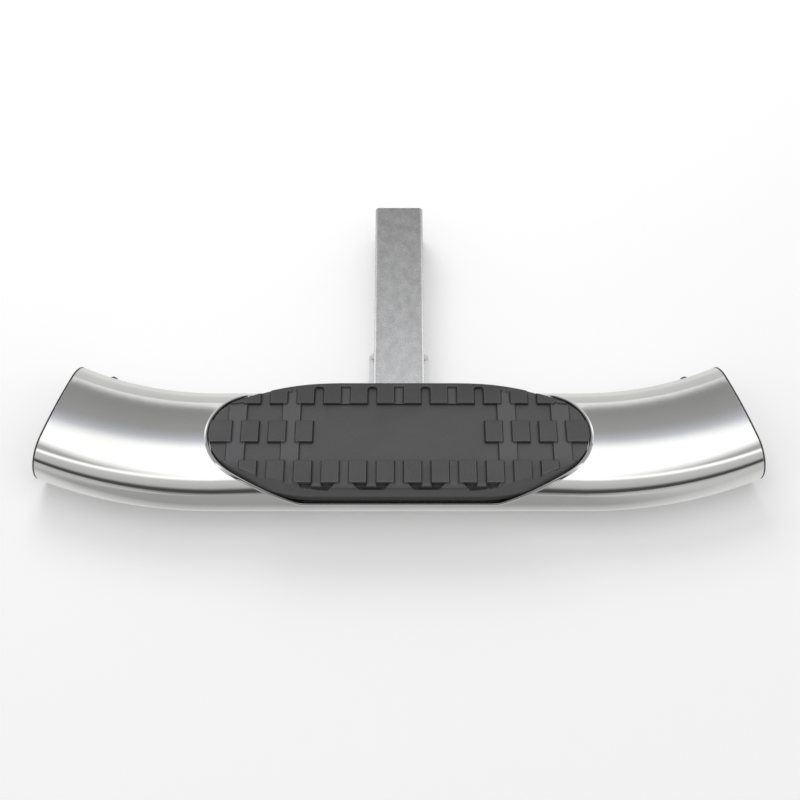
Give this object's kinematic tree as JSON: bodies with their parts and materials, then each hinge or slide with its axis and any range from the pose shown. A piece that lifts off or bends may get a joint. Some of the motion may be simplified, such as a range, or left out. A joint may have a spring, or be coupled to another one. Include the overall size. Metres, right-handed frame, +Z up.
{
  "type": "hitch receiver step",
  "caption": "Hitch step: a bent oval steel tube with a wide moulded tread pad, closed by end caps, on a square receiver tube that is pinned in a tow hitch.",
  "frame": {"origin": "centre of the hitch pin hole, on the axis of the square receiver tube", "axes": "+X along the step to the user's right, +Y along the receiver tube towards the vehicle, +Z up"},
  "size_m": [0.7072, 0.3694, 0.067],
  "materials": {
    "polished_steel": "polished",
    "receiver_steel": "satin, slightly mottled",
    "tread_rubber": "matte moulded",
    "cap_plastic": "matte",
    "clip_plastic": "matte",
    "screw_steel": "dull",
    "weld_steel": "satin"
  },
  "bodies": {
    "root": {"step_tube": "polished_steel", "step_pad": "tread_rubber", "pad_clips": "clip_plastic", "end_cap_left": "cap_plastic", "end_cap_right": "cap_plastic", "cap_screw_left": "screw_steel", "cap_screw_right": "screw_steel", "receiver_tube": "receiver_steel", "side_plate_left": "receiver_steel", "side_plate_right": "receiver_steel", "receiver_weld": "weld_steel", "nose_weld_left": "weld_steel", "nose_weld_right": "weld_steel", "plate_weld_left": "weld_steel", "plate_weld_right": "weld_steel"}
  },
  "joints": []
}
